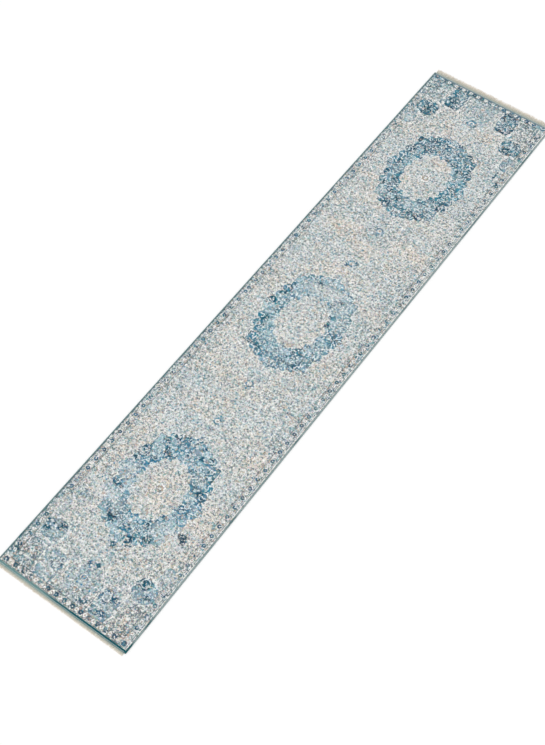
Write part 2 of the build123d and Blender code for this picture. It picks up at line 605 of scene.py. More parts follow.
class Shader:
    """A material under construction: short names for adding nodes and joining them."""

    def __init__(self, name, roughness=0.9, sheen=0.25):
        self.material = bpy.data.materials.new(name)
        self.material.use_nodes = True
        self.tree = self.material.node_tree
        self.surface = self.tree.nodes["Principled BSDF"]
        self.surface.inputs["Roughness"].default_value = roughness
        self.surface.inputs["Sheen Weight"].default_value = sheen
        self.surface.inputs["Sheen Roughness"].default_value = 0.5
        self.surface.inputs["Specular IOR Level"].default_value = 0.2
        self.place = self.node("ShaderNodeTexCoord").outputs["Object"]

    def node(self, kind, inputs=None, **settings):
        """A new node, with a number or another node's output on each of these inputs."""
        made = self.tree.nodes.new(kind)
        for key, value in settings.items():
            setattr(made, key, value)
        for key, value in (inputs or {}).items():
            self.put(made.inputs[key], value)
        return made

    def put(self, socket, value):
        if isinstance(value, bpy.types.NodeSocket):
            self.tree.links.new(value, socket)
        else:
            socket.default_value = value

    def math(self, operation, a, b):
        return self.node("ShaderNodeMath", {0: a, 1: b}, operation=operation).outputs[0]

    def vector(self, operation, a, b):
        return self.node("ShaderNodeVectorMath", {0: a, 1: b}, operation=operation).outputs[0]

    def attribute(self, name):
        return self.node("ShaderNodeAttribute", attribute_name=name).outputs["Fac"]

    def remap(self, value, low, high, to_low=0.0, to_high=1.0):
        inputs = {"Value": value, "From Min": low, "From Max": high, "To Min": to_low, "To Max": to_high}
        return self.node("ShaderNodeMapRange", inputs).outputs[0]

    def mix(self, factor, a, b, blend="MIX"):
        inputs = {"Factor": factor, "A": a, "B": b}
        made = self.node("ShaderNodeMix", inputs, data_type="RGBA", blend_type=blend)
        return made.outputs["Result"]

    def noise(self, size_mm, detail=2.0, stretch=(1, 1, 1)):
        """Noise in soft blobs of about that size."""
        scaled = self.vector("MULTIPLY", self.place, tuple(s / (size_mm * MM) for s in stretch))
        inputs = {"Vector": scaled, "Scale": 1.0, "Detail": detail}
        return self.node("ShaderNodeTexNoise", inputs).outputs["Fac"]

    def tufts(self, size_mm, output="Value"):
        """A random value or colour for each tuft of that size, the same all over the tuft."""
        scale = 1 / (size_mm * MM)
        scaled = self.vector("MULTIPLY", self.place, (scale, scale, 0))
        cell = self.node("ShaderNodeVectorMath", {0: scaled}, operation="FLOOR").outputs[0]
        return self.node("ShaderNodeTexWhiteNoise", {"Vector": cell}).outputs[output]

    def bump(self, height, distance_mm):
        made = self.node("ShaderNodeBump", {"Height": height, "Distance": distance_mm * MM})
        self.put(self.surface.inputs["Normal"], made.outputs["Normal"])

    def colour(self, value):
        self.put(self.surface.inputs["Base Color"], value)


def rgb(red, green, blue):
    """A display colour, 0 to 255, as the linear colour that a shader takes."""

    def linear(c):
        c = c / 255
        return c / 12.92 if c <= 0.04045 else ((c + 0.055) / 1.055) ** 2.4

    return (linear(red), linear(green), linear(blue), 1.0)


TUFT = 2.6  # width of one tuft of pile, in mm


# Flecks of odd yarn: size, the noise above which they show, strength, shift of the noise, colour.
FLECKS = (
    (12, 0.57, 0.66, 0.0, (74, 96, 104)), (12, 0.57, 0.68, 3.0, (244, 244, 241)),
    (15, 0.62, 0.55, 6.0, (176, 154, 134)), (15, 0.60, 0.50, 9.0, (84, 148, 160)),
    (10, 0.66, 0.80, 12.0, (40, 62, 74)),
)


def pattern_colour(s):
    """The pattern's colours, laid over each other from its distances, with tufted edges."""
    jitter = s.math("SUBTRACT", s.tufts(TUFT), 0.5)
    ragged = s.math("SUBTRACT", s.noise(6.0), 0.5)
    shift = s.math("ADD", s.math("MULTIPLY", jitter, 1.6), s.math("MULTIPLY", ragged, 2.5))

    def over(colour, layer, strength, paint):
        distance = s.math("ADD", s.attribute(layer), shift)
        return s.mix(s.remap(distance, 0.7, -0.7, 0.0, strength), colour, paint)

    def dyed(plain, teal, depth):
        """Turns from plain to teal, and to the colour of a deep dye, from place to place."""
        colour = s.mix(s.attribute("teal"), rgb(*plain), rgb(*teal))
        return s.mix(s.attribute("depth"), colour, rgb(*depth))

    ground = s.mix(s.attribute("warm"), rgb(208, 215, 216), rgb(224, 214, 202))
    ground = s.mix(s.attribute("wash"), ground, rgb(140, 170, 182))
    ground = s.mix(s.math("MULTIPLY", s.attribute("zone"), 0.8), ground, rgb(172, 201, 212))
    pale = s.mix(s.attribute("zone"), rgb(232, 232, 229), rgb(224, 236, 240))
    colour = over(ground, "blue", 0.95, dyed((34, 128, 170), (8, 130, 154), (4, 70, 96)))
    colour = over(colour, "tan", 0.90, rgb(174, 150, 132))
    colour = over(colour, "deep", 0.97, dyed((8, 86, 120), (0, 90, 108), (6, 56, 80)))
    colour = over(colour, "light", 0.95, pale)
    colour = over(colour, "ink", 0.92, dyed((72, 98, 108), (50, 102, 110), (24, 64, 78)))
    return s.mix(s.attribute("wear"), colour, ground)


def make_pile_material():
    s = Shader("pile_wool", roughness=0.92, sheen=0.18)
    colour = pattern_colour(s)
    for size, low, strength, shift, paint in FLECKS:
        place = s.vector("ADD", s.place, (shift, shift * 0.7, 0))
        inputs = {"Vector": place, "Scale": 1 / (size * MM), "Detail": 1.0}
        noise = s.node("ShaderNodeTexNoise", inputs).outputs["Fac"]
        colour = s.mix(s.remap(noise, low, low + 0.07, 0.0, strength), colour, rgb(*paint))
    colour = s.mix(0.15, colour, s.tufts(TUFT * 1.5, "Color"), "OVERLAY")
    shade = s.remap(s.tufts(TUFT * 2), 0.0, 1.0, 0.82, 1.15)
    grey = s.node("ShaderNodeCombineColor", {"Red": shade, "Green": shade, "Blue": shade})
    s.colour(s.mix(1.0, colour, grey.outputs[0], "MULTIPLY"))
    fibre = s.math("MULTIPLY", s.noise(0.7, 3.0), 0.4)
    s.bump(s.math("ADD", fibre, s.noise(TUFT, 1.0)), 0.9)
    return s.material


def make_yarn_material(name, pale, dark, thread_mm, stretch=(1, 1, 1), roughness=0.9, tone=False):
    """Twisted or woven yarn: two colours in flecks along the thread, with fine fibres."""
    s = Shader(name, roughness=roughness, sheen=0.2)
    fleck = s.remap(s.noise(thread_mm * 3, 3.0, stretch), 0.3, 0.7)
    colour = s.mix(fleck, rgb(*pale), rgb(*dark))
    colour = s.mix(s.math("MULTIPLY", s.noise(60.0, 2.0), 0.35), colour, rgb(*pale))
    if tone:
        colour = s.mix(s.attribute("tone"), colour, rgb(*tone))
    s.colour(colour)
    fibres = s.noise(thread_mm * 0.5, 3.0, stretch)
    s.bump(fibres, thread_mm * 0.35)
    return s.material


# ---------------------------------------------------------------- pieces

PILE_SECTIONS = 4  # so that each section's baked map keeps the pattern sharp
PILE_GRID = 2.5
PILE_EDGE_RADIUS = 3.4
EDGE_INSETS = (0.0, 0.4, 1.1, 2.2, 3.6)  # closer rows of vertices where the pile's edge is round
WEAR_DEPTH = 0.8
CARVED_DEPTH = 0.3
TUFT_RELIEF = 0.38
TUFT_JOG = 0.45
SKIRT_LEVELS = (0.66, 0.33, 0.0)  # rows of vertices down the pile's outer side


def gaps_filled(low, high, near_edge, far_edge):
    """Grid places from low to high, with the closer rows of a round edge at either end."""
    head = [low + i for i in EDGE_INSETS] if near_edge else [low]
    tail = [high - i for i in reversed(EDGE_INSETS)] if far_edge else [high]
    count = int(round((tail[0] - head[-1]) / PILE_GRID))
    inner = np.linspace(head[-1], tail[0], count + 1)[1:-1]
    return np.concatenate([head, inner, tail])


def wear_maps(x, y):
    """How worn, warm, teal, deeply dyed and washed with blue each point is, from 0 to 1."""
    border = unit(np.maximum(abs(x) - GUARD_LINE_X, abs(pattern_y(y)) - GUARD_LINE_Y) / 4)
    far_border = border * unit((y - GUARD_LINE_Y) / 4)
    near_border = border * unit((-pattern_y(y) - GUARD_LINE_Y) / 4)
    broad = 0.5 * patches(x, y, 170, 130, 1) + 0.5 * patches(x, y, 60, 40, 2)
    fine = 0.6 * patches(x, y, 100, 6, 3) + 0.4 * patches(x, y, 14, 10, 4)
    wear = np.clip(0.8 * broad + 0.6 * fine - 0.58, 0.0, 0.7)
    wear = wear * (1 - 0.4 * border) * (1 - 0.7 * near_border)
    warm = unit(0.8 * patches(x, y, 150, 110, 5) + 0.9 * patches(x, y, 22, 14, 6) - 0.50)
    teal = unit(1.3 * patches(x, y, 220, 200, 7) + 0.8 * patches(x, y, 30, 25, 8) - 0.65)
    depth = unit(2.2 * patches(x, y, 60, 50, 9) * patches(x, y, 14, 12, 10) - 0.40)
    depth = np.maximum(depth, 0.75 * near_border * patches(x, y, 16, 30, 14) ** 0.5)
    wash = unit(0.7 * patches(x, y, 120, 60, 11) + 0.6 * patches(x, y, 24, 12, 12) - 0.70)
    wash = np.maximum(wash, 0.25 * border * patches(x, y, 30, 40, 13) + 0.7 * far_border)
    wash = wash * (1 - near_border)
    inside_arch = unit(-rounded_box(x, abs(y) - 1836, 86, 110, 40) / 8)
    wash = np.maximum(wash, 0.55 * inside_arch * patches(x, y, 26, 20, 15) ** 0.3)
    warm = np.maximum(warm, 0.9 * near_border)
    return {"wear": wear, "warm": warm, "teal": teal, "depth": depth, "wash": wash}


NEAR_STRETCH = 12.0  # how much further out the near border lies than the far one


def pattern_y(y):
    """Place along the pattern, which is stretched over the last part of the near end."""
    return y + NEAR_STRETCH * unit((-1780 - y) / 120)


# Places where the dye has stayed strong on one side only: across, along, half sizes, darkness.
DYE_SPOTS = (
    (64, -1904, 32, 13, 0.2), (100, -1886, 30, 15, 0.0), (146, -1906, 28, 12, 0.1),
    (184, -1894, 24, 16, 0.2), (-256, -1660, 25, 25, 0.1), (262, -1655, 24, 24, 0.1),
    (-320, -1664, 28, 11, 0.2), (-320, -1704, 24, 13, 0.3), (318, -1710, 26, 12, 0.4),
    (-366, -1880, 14, 16, 0.9), (-372, -1942, 14, 12, 0.6), (255, -1366, 28, 20, 1.0),
    (268, -1384, 12, 18, 0.9), (50, -1520, 20, 18, 0.6), (63, -1548, 22, 14, 0.3),
    (-4, -1457, 14, 12, 0.7), (122, -1480, 22, 20, 0.1), (-103, -1480, 34, 16, 0.0),
    (0, -1588, 14, 20, 0.3), (-24, -1730, 12, 14, 0.0), (16, -1716, 12, 12, 0.0),
    (194, -1804, 20, 16, 0.0), (-105, -945, 20, 9, 1.0), (106, -945, 20, 8, 0.8),
    (-49, -913, 16, 12, 0.3), (50, -915, 16, 12, 0.2), (0, -904, 9, 40, 0.2),
    (68, -967, 24, 14, 0.1), (-103, -1030, 12, 22, 0.0), (-76, -1043, 26, 10, 0.0),
    (-202, -1147, 20, 14, 0.2), (185, -1138, 24, 20, 0.2), (-232, 1768, 32, 18, 0.0),
    (-198, -1313, 26, 18, 0.0), (-190, -1080, 22, 22, 0.0), (-195, 104, 22, 24, 0.1),
    (-220, 26, 24, 22, 0.2), (-180, -90, 24, 24, 0.0), (100, 222, 26, 9, 0.6),
    (-64, 264, 26, 10, 0.3), (120, 60, 12, 22, 0.5), (-120, -262, 70, 5, 0.2),
    (120, -262, 60, 5, 0.2), (22, 486, 12, 10, 0.1), (-20, 452, 12, 10, 0.0),
    (262, 1667, 26, 30, 0.5), (300, 1640, 10, 20, 0.4), (134, 1908, 24, 12, 0.8),
    (176, 1901, 26, 14, 0.6), (212, 1811, 12, 30, 0.5), (158, 1773, 32, 10, 0.4),
    (140, 1880, 12, 24, 0.6), (-175, 1826, 40, 28, 0.1), (-184, 1763, 50, 8, 0.4),
    (266, 1937, 8, 26, 0.8), (360, 1806, 14, 10, 0.8), (372, 1874, 10, 10, 0.8),
    (-280, 1680, 34, 26, 0.0), (318, 1458, 6, 34, 0.8), (352, 1416, 8, 14, 0.9),
    (-175, 1455, 12, 34, 0.5), (-178, 1379, 22, 20, 0.7), (-118, 1415, 38, 20, 0.5),
    (-22, 1424, 26, 12, 0.6), (34, 1406, 20, 14, 0.6), (88, 1397, 22, 16, 0.5),
    (140, 1364, 22, 20, 0.5), (140, 1305, 14, 22, 0.6), (190, 1379, 12, 30, 0.5),
    (131, 1496, 22, 18, 0.4), (-94, 1496, 22, 18, 0.3), (-53, 1541, 20, 14, 0.2),
    (52, 1541, 20, 14, 0.2), (-184, 1253, 12, 20, 0.6), (-238, 1199, 14, 14, 0.5),
    (167, 1235, 14, 24, 0.4), (-211, 1136, 14, 20, 0.3), (-139, 1109, 14, 28, 0.4),
    (-188, 1060, 18, 22, 0.5), (-103, 1028, 26, 14, 0.3), (-94, 938, 26, 16, 0.3),
    (-44, 1001, 24, 14, 0.2), (50, 965, 18, 18, 0.2), (104, 947, 26, 14, 0.4),
    (176, 1073, 22, 26, 0.3),
)
DYE_RINGS = (
    (-152, -1820, 22, 30), (152, -1814, 26, 30), (262, -1655, 30, 30), (-196, -1100, 28, 28),
)
# Places where the dye has gone: across, along, half sizes, how much.
FADED_PLACES = (
    (-190, -1230, 60, 90, 0.7), (-200, -1385, 100, 60, 1.0), (200, -1395, 110, 70, 1.0),
    (170, -1480, 70, 40, 0.6), (-180, -1480, 60, 40, 0.5), (-160, 985, 60, 50, 0.6),
    (190, 1010, 60, 70, 0.3), (20, 235, 190, 60, 0.9), (185, 110, 70, 80, 0.5),
    (200, -120, 50, 60, 0.3), (-172, -1846, 80, 110, 0.8), (172, -1846, 80, 110, 0.6),
    (-282, -1690, 90, 80, 0.6), (282, -1690, 90, 80, 0.45), (-330, -1572, 60, 70, 0.95),
    (330, -1572, 60, 70, 0.9), (230, -1765, 60, 50, 0.8), (-230, -1765, 60, 50, 0.8),
    (-330, 1572, 60, 70, 0.7), (330, 1572, 60, 70, 0.5), (0, 1650, 60, 70, 0.8),
    (0, -1670, 60, 60, 0.5), (60, -330, 60, 60, 0.3), (130, 180, 70, 60, 0.7),
    (40, 1010, 120, 40, 0.5), (130, -1070, 40, 40, 0.5), (-110, -1410, 60, 50, 0.5),
)
# Places washed with grey blue: across, along, half sizes, how much.
WASHED_PLACES = (
    (-350, 1890, 70, 70, 0.8), (350, 1900, 60, 80, 0.5), (-365, 1600, 45, 130, 0.6),
    (310, 1490, 80, 60, 0.45), (0, 700, 50, 60, 0.5), (0, 345, 40, 30, 0.6),
    (-330, 380, 50, 50, 0.5), (350, 450, 40, 60, 0.5), (0, -430, 60, 50, 0.5),
    (-340, -420, 60, 80, 0.5), (-310, -1480, 90, 60, 0.6), (60, -1790, 70, 60, 0.4),
    (-90, -1750, 80, 60, 0.4), (200, -1850, 60, 60, 0.5),
)
# Places that are browner than the rest: across, along, half sizes.
BROWN_PLACES = (
    (-320, -1855, 60, 50), (310, -1895, 80, 45), (-160, 650, 190, 80), (230, 560, 110, 60),
    (340, -80, 60, 80), (-40, -640, 120, 60), (-120, 1620, 120, 60), (-220, 660, 90, 60),
    (130, 1680, 60, 50), (220, 260, 70, 60), (250, 720, 90, 60), (0, -1222, 110, 150),
)


def from_ellipse(x, y, cx, cy, half_x, half_y):
    """Distance from an ellipse's edge, about right and negative inside."""
    return (np.hypot((x - cx) / half_x, (y - cy) / half_y) - 1) * min(half_x, half_y)


def within(x, y, cx, cy, half_x, half_y):
    """1 at an ellipse's middle, falling to 0 at its edge."""
    return unit(1 - np.hypot((x - cx) / half_x, (y - cy) / half_y))


FAR_PART_Y, NEAR_PART_Y = 900, -700  # between the far, middle and near medallions


def dye_blue_forms(values, x, y, zone):
    """Wears the blue forms away in clumps, and makes parts of them greener and darker."""
    far_part, near_part = y > FAR_PART_Y, y <= NEAR_PART_Y
    clumps = 0.7 * patches(x, y, 44, 40, 87) + 0.3 * patches(x, y, 18, 16, 88)
    strength = np.where(far_part, 1.3, np.where(near_part, 2.5, 2.1))
    worn_blue = np.clip(strength * (clumps - np.where(far_part, 0.50, 0.44)), 0, 0.8)
    values.wear = np.maximum(values.wear * (1 - 0.8 * zone), zone * worn_blue)
    values.wash *= 1 - zone
    values.teal = unit(values.teal + zone * np.where(near_part, 0.05, 0.4))
    darker = zone * unit(patches(x, y, 13, 13, 84) + 0.8 * (0.5 - clumps))
    values.depth += darker * np.where(far_part, 0.85, 0.5)


def dye_ends_and_sides(values, x, y, zone):
    """Makes the pattern bolder and darker towards the ends and the sides."""
    near_an_end = unit((abs(y) - 1350) / 500) * np.where(y > 0, 0.38, 0.35)
    bold = near_an_end * (0.5 + 0.5 * abs(x) / 350) + 0.2 * unit((abs(x) - 230) / 120)
    bold = bold * (0.4 + 1.2 * patches(x, y, 110, 90, 86))
    values.ink -= 1.3 * bold
    values.deep -= 1.3 * bold
    values.blue -= 1.3 * bold
    values.wear *= 1 - 0.4 * unit(bold)
    values.wash = unit(values.wash + 0.35 * bold * (1 - zone))
    values.depth = unit(values.depth + 0.6 * bold * patches(x, y, 20, 16, 85) ** 2)


def fade_places(values, x, y):
    streaks = 0.5 + patches(x, y, 60, 7, 83)
    for *ellipse, amount in FADED_PLACES:
        faded = amount * within(x, y, *ellipse) ** 0.5
        values.wear = np.clip(np.maximum(values.wear, faded * streaks), 0, 0.85)
        values.zone = values.zone * (1 - 0.8 * faded)


def dye_places(values, x, y):
    ragged = 11 * (patches(x, y, 10, 9, 81) - 0.50)
    for *ellipse, darkness in DYE_SPOTS:
        distance = from_ellipse(x, y, *ellipse) + ragged
        soft = unit(0.5 - distance / 8)
        values.deep = np.minimum(values.deep, distance)
        values.wear *= 1 - soft
        values.depth = np.maximum(values.depth, darkness * soft)
    for ellipse in DYE_RINGS:
        distance = from_ellipse(x, y, *ellipse)
        values.deep = np.minimum(values.deep, abs(distance) - 3.6)
        values.light = np.minimum(values.light, abs(distance + 8) - 2.2)
        values.wear *= np.clip(abs(distance) / 12, 0.2, 1)


def edge_lines(values, x):
    """A dark line down the pile's left edge, and a pale one down its right edge that is painted light,
    standing in for light on the right edge's top.
    """
    left, right = unit((x + 386) / -2), unit((x - 384) / 2)
    values.ink = np.where(left > 0, 4 - 6 * left, values.ink)
    # the pale strip on the right edge is painted light; the dark strip on the left edge is a guard line
    # of the pattern
    values.light = np.where(right > 0, 4 - 6 * right, values.light + 6 * left)
    values.wear *= (1 - left) * (1 - right)


def wash_and_brown_places(values, x, y, zone):
    mottled = 0.4 + patches(x, y, 24, 20, 89)
    for *ellipse, amount in WASHED_PLACES:
        washed = unit(amount * np.sqrt(within(x, y, *ellipse)) * mottled)
        values.wash = np.maximum(values.wash, washed * (1 - zone))
    mottled = 1.1 * patches(x, y, 26, 16, 82)
    for ellipse in BROWN_PLACES:
        soft = within(x, y, *ellipse)
        values.warm = unit(values.warm + soft * mottled)
        values.tan -= 2.0 * soft


def pile_values(drawing, x, y):
    """What the mirrored pattern and the uneven dye and wear say at each point, by name."""
    places = (abs(x) / CANVAS_STEP, abs(pattern_y(y)) / CANVAS_STEP)
    drawn = {name: between_points(layer, *places) for name, layer in drawing.layers.items()}
    values = SimpleNamespace(**drawn, **wear_maps(x, y))
    zone = unit(0.5 - values.zone / 6)
    values.zone = zone
    dye_blue_forms(values, x, y, zone)
    dye_ends_and_sides(values, x, y, zone)
    fade_places(values, x, y)
    dye_places(values, x, y)
    edge_lines(values, x)
    wash_and_brown_places(values, x, y, zone)
    return values


def pile_top(drawing, x, y, jog, relief):
    """Points of the pile's top: worn, carved along the outlines and round at its edges."""
    edge_x = PILE_HALF_WIDTH - abs(x)
    edge_y = PILE_HALF_LENGTH - abs(y - WOVEN_CENTRE_Y)
    free = unit(np.minimum(edge_x, edge_y) / PILE_EDGE_RADIUS)
    x, y = x + jog[0] * free, y + jog[1] * free
    values = pile_values(drawing, x, y)
    lean = np.hypot(unit(1 - edge_x / PILE_EDGE_RADIUS), unit(1 - edge_y / PILE_EDGE_RADIUS))
    drop = PILE_EDGE_RADIUS * (1 - np.sqrt(1 - unit(lean) ** 2))
    carved = CARVED_DEPTH * unit(1 - values.ink / 2)
    z = PILE_HIGH[2] - drop - values.wear * WEAR_DEPTH - carved + relief
    return np.stack([x, y, z], -1).reshape(-1, 3), values


def pile_sides(top, chains, rng):
    """Rows of points and faces down from the outer edges, and the edge point above each."""
    rows, faces, above = [], [], []
    count = len(top)
    for chain, out in chains:
        upper, edge = chain, top[chain]
        for level in SKIRT_LEVELS:
            row = edge.copy()
            row[:, 2] = PILE_LOW[2] + (edge[:, 2] - PILE_LOW[2]) * level
            bulge = rng.uniform(0.2, 0.55, len(chain))
            bulge[[0, -1]] = 0.3
            row[:, :2] += out * bulge[:, None] * (level > 0)
            lower = count + np.arange(len(chain))
            faces.append(np.stack([upper[:-1], lower[:-1], lower[1:], upper[1:]], 1))
            rows.append(row)
            above.append(chain)
            count += len(chain)
            upper = lower
    return rows, faces, np.concatenate(above)


def make_pile(drawing, material):
    rng = np.random.default_rng(21)
    bounds = np.linspace(float(PILE_LOW[1]), float(PILE_HIGH[1]), PILE_SECTIONS + 1)
    xs = gaps_filled(-PILE_HALF_WIDTH, PILE_HALF_WIDTH, True, True)
    seam = None
    pieces = []
    for index in range(PILE_SECTIONS):
        first, last = index == 0, index == PILE_SECTIONS - 1
        x, y = np.meshgrid(xs, gaps_filled(bounds[index], bounds[index + 1], first, last))
        jog = rng.uniform(-TUFT_JOG, TUFT_JOG, (2,) + x.shape)
        relief = rng.uniform(-TUFT_RELIEF, TUFT_RELIEF, x.shape)
        if seam:
            jog[:, 0], relief[0] = seam
        seam = (jog[:, -1].copy(), relief[-1].copy())
        top, values = pile_top(drawing, x, y, jog, relief)
        rows, faces, above = pile_sides(top, outer_chains(x, first, last), rng)
        flat = {name: value.ravel() for name, value in vars(values).items()}
        attributes = {name: np.concatenate([value, value[above]]) for name, value in flat.items()}
        vertices, faces = np.concatenate([top] + rows), [grid_faces(*x.shape)] + faces
        piece = new_piece(f"pile_section_{index + 1}", vertices, faces, material, attributes)
        pieces.append(piece)
    return pieces


def outer_chains(x, first, last):
    """Vertex numbers along each outer side of a section of pile, and the way out from each."""
    numbers = np.arange(x.size).reshape(x.shape)
    near, right = (numbers[0, :], (0.0, -1.0)), (numbers[:, -1], (1.0, 0.0))
    far, left = (numbers[-1, ::-1], (0.0, 1.0)), (numbers[::-1, 0], (-1.0, 0.0))
    runs = [[left], [right]]
    if first:
        runs = [[left, near, right]]
    elif last:
        runs = [[right, far, left]]
    chains = []
    for run in runs:
        chain = np.concatenate([side[k > 0 :] for k, (side, _) in enumerate(run)])
        ways = [np.tile(way, (len(side) - (k > 0), 1)) for k, (side, way) in enumerate(run)]
        chains.append((chain, np.concatenate(ways)))
    return chains


DARK_CORNER_Y = -1905.0  # the right side's edging is dark from here to the near end
DARK_SPOT_Y = -1805.0


def overlock_sections(side, name):
    """Rings of the wrapped yarn round one side, each wrap a slanted ridge."""
    low, high = box_mm(name + "_overlock_yarn")
    half_length = float(high[1] - low[1]) / 2 - 1.0
    centre_x, centre_z = (low[0] + high[0]) / 2, (low[2] + high[2]) / 2
    wrap_pitch, per_wrap, points = 2.6, 4, 14
    count = int(2 * half_length / wrap_pitch) * per_wrap
    y = np.linspace(-half_length, half_length, count)
    angle = np.linspace(0, 2 * math.pi, points, endpoint=False)
    yy, aa = np.meshgrid(y, angle, indexing="ij")
    ridge = 0.34 * abs(np.cos(math.pi * (yy / wrap_pitch + aa / (2 * math.pi)))) ** 0.8
    slack = 0.25 * (patches(0 * yy, yy, 50, 14, 31) - 0.5)
    from_end = np.minimum(half_length - abs(yy), 3.0) / 3.0
    size = (0.62 + 0.38 * np.sqrt(from_end)) * (1 + slack * 0.12)
    half_width = (float(high[0] - low[0]) / 2 - 0.35) * size + ridge
    half_height = (float(high[2] - low[2]) / 2 - 0.35) * size + ridge
    round_x = np.sign(np.cos(aa)) * abs(np.cos(aa)) ** 0.8
    round_z = np.sign(np.sin(aa)) * abs(np.sin(aa)) ** 0.8
    wander = 0.7 * (patches(0 * yy, yy, 50, 180, 32 + side) - 0.5)
    x = centre_x - half_width * round_x + wander
    return np.stack([x, WOVEN_CENTRE_Y + yy, centre_z + half_height * round_z], -1)


def make_overlock(side, name, material):
    """The edging: darker all along the left side, at the right side's near corner and in patches. The
    right side's lighter edging is painted light against the shade on its outer face.
    """
    vertices, faces = loft(overlock_sections(side, name))
    y = vertices[:, 1]
    # painted light: the right side keeps the yarn's lighter colours to offset the shade on its outer
    # face, and the left side gets a fixed darker tone
    dark = unit((DARK_CORNER_Y - y) / 25) if side > 0 else np.full(y.shape, 0.45)
    dark = np.maximum(dark, 0.8 * unit(1.4 - abs(y - DARK_SPOT_Y) / 30))
    dark = np.maximum(dark, unit(patches(vertices[:, 0], y, 40, 90, 41) * 1.6 - 0.95))
    return new_piece(name + "_overlock", vertices, faces, material, {"tone": dark})


def make_cord(name, material):
    """Three plies twisted together."""
    low, high = box_mm(name + "_selvedge_cord")
    y = np.arange(low[1], high[1] + 0.1, 2.0)
    angle = np.linspace(0, 2 * math.pi, 9, endpoint=False)
    yy, aa = np.meshgrid(y, angle, indexing="ij")
    twist = 2 * math.pi * yy / 17.0
    radius = float(high[0] - low[0]) / 2 * (0.84 + 0.16 * abs(np.cos(1.5 * (aa - twist))))
    x = (low[0] + high[0]) / 2 - radius * np.cos(aa)
    z = (low[2] + high[2]) / 2 + radius * np.sin(aa)
    vertices, faces = loft(np.stack([x, yy, z], -1))
    return new_piece(name + "_cord", vertices, faces, material)


def make_ground(material):
    """The woven ground: flat under the pile, ribbed by its warps and wefts on the back."""
    half_width = float(WEAVE_HIGH[0])
    half_length = float(WEAVE_HIGH[1] - WEAVE_LOW[1]) / 2
    weft_pitch, warp_count = 7.0, 58
    y = np.arange(-half_length, half_length + 0.1, weft_pitch / 2)
    bottom_x = np.linspace(half_width, -half_width, warp_count)
    x = np.concatenate([[-half_width, half_width], bottom_x])
    top = np.concatenate([[True, True], np.zeros(warp_count, bool)])
    yy, xx = np.meshgrid(y, x, indexing="ij")
    weft = np.arange(len(y))[:, None] % 2
    warp = np.arange(len(x))[None, :] % 2
    relief = 0.05 + 0.16 * weft + 0.10 * warp
    zz = np.where(top[None, :], WEAVE_HIGH[2], relief)
    vertices, faces = loft(np.stack([xx, WOVEN_CENTRE_Y + yy, zz], -1))
    return new_piece("woven_ground", vertices, faces, material)


def make_band(end, name, material):
    """The flat-woven heading: thin cords of weft across the rug, over and under the warps."""
    low, high = box_mm(name + "_end_band")
    middle, half = (low[1] + high[1]) / 2, float(high[1] - low[1]) / 2
    weft_count = 9
    across = np.linspace(half, -half, weft_count * 3 + 1)
    section_y = np.concatenate([across, across[::-1]])
    section_top = np.concatenate([np.ones(len(across)), np.zeros(len(across))])
    x = np.arange(low[0], high[0] + 0.1, 1.6)
    xx, yy = np.meshgrid(x, section_y, indexing="ij")
    weft = abs(np.sin(math.pi * (yy + half) / (2 * half) * weft_count)) ** 0.7
    warp = np.cos(math.pi * xx / 3.2 + math.pi * np.floor((yy + half) / (2 * half) * weft_count))
    edge = unit((half - abs(yy)) / 1.2)
    height = (float(high[2]) - 0.75) + 0.45 * weft + 0.16 * warp
    zz = np.where(section_top[None, :] > 0, 0.5 + (height - 0.5) * (0.45 + 0.55 * edge), 0.06)
    bend = 1.2 * (patches(xx, yy * 0, 90, 50, 51 + end) - 0.5)
    vertices, faces = loft(np.stack([xx, middle + yy + bend * 0.4, zz], -1))
    x, y = vertices[:, 0], vertices[:, 1]
    tone = patches(x, y, 70, 6, 53) * 0.7
    if end < 0:
        tone = unit(tone + (x + 90) / 190)
    return new_piece(name + "_band", vertices, faces, material, {"tone": tone})


def tubes(paths, radius, points=5, closed=False):
    """Vertices and faces of many tubes along paths shaped (tubes, places, 3)."""
    if closed:
        ahead = np.roll(paths, -1, 1) - np.roll(paths, 1, 1)
    else:
        ahead = np.gradient(paths, axis=1)
    ahead /= np.linalg.norm(ahead, axis=2, keepdims=True)
    side = np.cross((0.0, 0.0, 1.0), ahead)
    side /= np.linalg.norm(side, axis=2, keepdims=True)
    up = np.cross(ahead, side)
    angle = np.linspace(0, 2 * math.pi, points, endpoint=False)
    radius = np.broadcast_to(radius, paths.shape[:2])[:, :, None, None]
    ring = side[:, :, None] * np.cos(angle)[:, None] + up[:, :, None] * np.sin(angle)[:, None]
    vertices = (paths[:, :, None] + radius * ring).reshape(-1, 3)
    count, places = paths.shape[:2]
    shift = (np.arange(count) * places * points)[:, None, None]
    quads = grid_faces(places + closed, points, closed=True) % (places * points)
    faces = [(quads[None] + shift).reshape(-1, 4)]
    if not closed:
        faces.append((end_caps(places, points)[None] + shift).reshape(-1, points))
    return vertices, faces


def make_stitches(end, name, material):
    """A chain of thread loops, each lying over the start of the next."""
    low, high = box_mm(name + "_lock_stitch")
    middle = (low[1] + high[1]) / 2
    pitch = 6.0
    starts = np.arange(low[0], high[0] - 1.0, pitch)[:, None]
    turn = np.linspace(0, 2 * math.pi, 14, endpoint=False)[None, :]
    rng = np.random.default_rng(61 + end)
    skew = rng.uniform(-0.3, 0.3, starts.shape)
    x = starts + 3.4 + 3.7 * np.cos(turn)
    y = middle + 1.15 * np.sin(turn) * (1.15 - 0.3 * np.cos(turn)) + skew
    z = low[2] + 0.45 + 0.4 * unit(np.cos(turn)) + 0 * x
    vertices, faces = tubes(np.stack([x, y, z], -1), 0.55, 5, closed=True)
    return new_piece(name + "_chain_stitch", vertices, faces, material)


STRAND_RADIUS = 0.62
BUNDLE_PITCH = 7.0
STRANDS_IN_BUNDLE = 6


